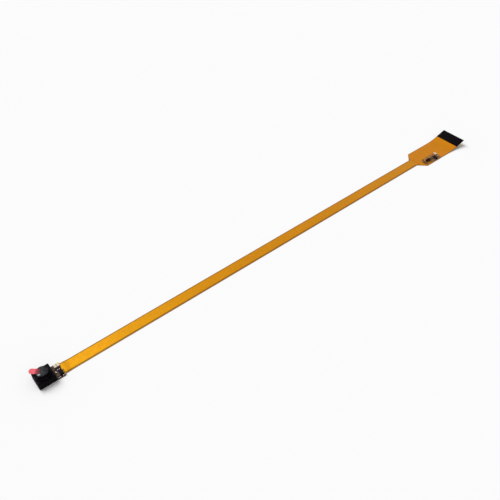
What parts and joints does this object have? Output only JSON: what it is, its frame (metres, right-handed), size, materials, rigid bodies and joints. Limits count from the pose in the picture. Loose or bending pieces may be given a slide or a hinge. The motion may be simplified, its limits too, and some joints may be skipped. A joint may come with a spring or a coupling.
{
  "type": "camera module",
  "caption": "Small fixed-focus camera module: a square lens holder with a round lens barrel on a long thin flex ribbon, ending in a wide stiffened contact tail.",
  "frame": {"origin": "on the lens axis, at the underside of the head stiffener, which is the table plane when the module lies flat", "axes": "+Z along the lens axis, the way the camera looks; +X along the ribbon from the head to the contacts; +Y across the ribbon"},
  "size_m": [0.2951, 0.016, 0.0065],
  "materials": {
    "polyimide": "amber coverlay film over copper, smooth and half gloss",
    "stiffener_laminate": "dark glass laminate, satin",
    "stiffener_black": "black film, matt",
    "gold_plate": "thin gold plating over copper",
    "silicon": "polished silicon with a fine pixel field",
    "cover_glass": "clear flat glass",
    "filter_glass": "flat glass with a coating that looks cyan and reflects red",
    "holder_black": "moulded black, fine matt texture",
    "barrel_black": "moulded black, satin",
    "lens_clear": "clear lens with a violet-green coating",
    "film_clear": "thin clear protective film, slightly milky",
    "tab_red": "translucent red film",
    "ceramic_tan": "fired capacitor ceramic, smooth and matt",
    "resistor_black": "dark glaze over ceramic",
    "tin_plate": "tin plating, soft sheen",
    "solder": "reflowed solder, bright",
    "package_black": "moulded compound, fine matt grain"
  },
  "bodies": {
    "root": {"flex_circuit": "polyimide", "head_stiffener": "stiffener_laminate", "contact_stiffener": "stiffener_black", "contacts": "gold_plate", "image_sensor": "silicon", "sensor_cover_glass": "cover_glass", "infrared_filter": "filter_glass", "lens_holder": "holder_black", "lens_barrel": "barrel_black", "front_lens": "lens_clear", "aperture_stop": "barrel_black", "middle_lens": "lens_clear", "lens_spacer": "barrel_black", "rear_lens": "lens_clear", "lens_retainer": "barrel_black", "protective_film": "film_clear", "pull_tab": "tab_red", "head_capacitors": "ceramic_tan", "head_resistors": "resistor_black", "head_terminals": "tin_plate", "head_solder": "solder", "driver_chip": "package_black", "driver_leads": "tin_plate", "end_capacitors": "ceramic_tan", "end_resistors": "resistor_black", "end_terminals": "tin_plate", "end_solder": "solder", "regulator_1": "package_black", "regulator_1_leads": "tin_plate", "regulator_2": "package_black", "regulator_2_leads": "tin_plate"}
  },
  "joints": []
}
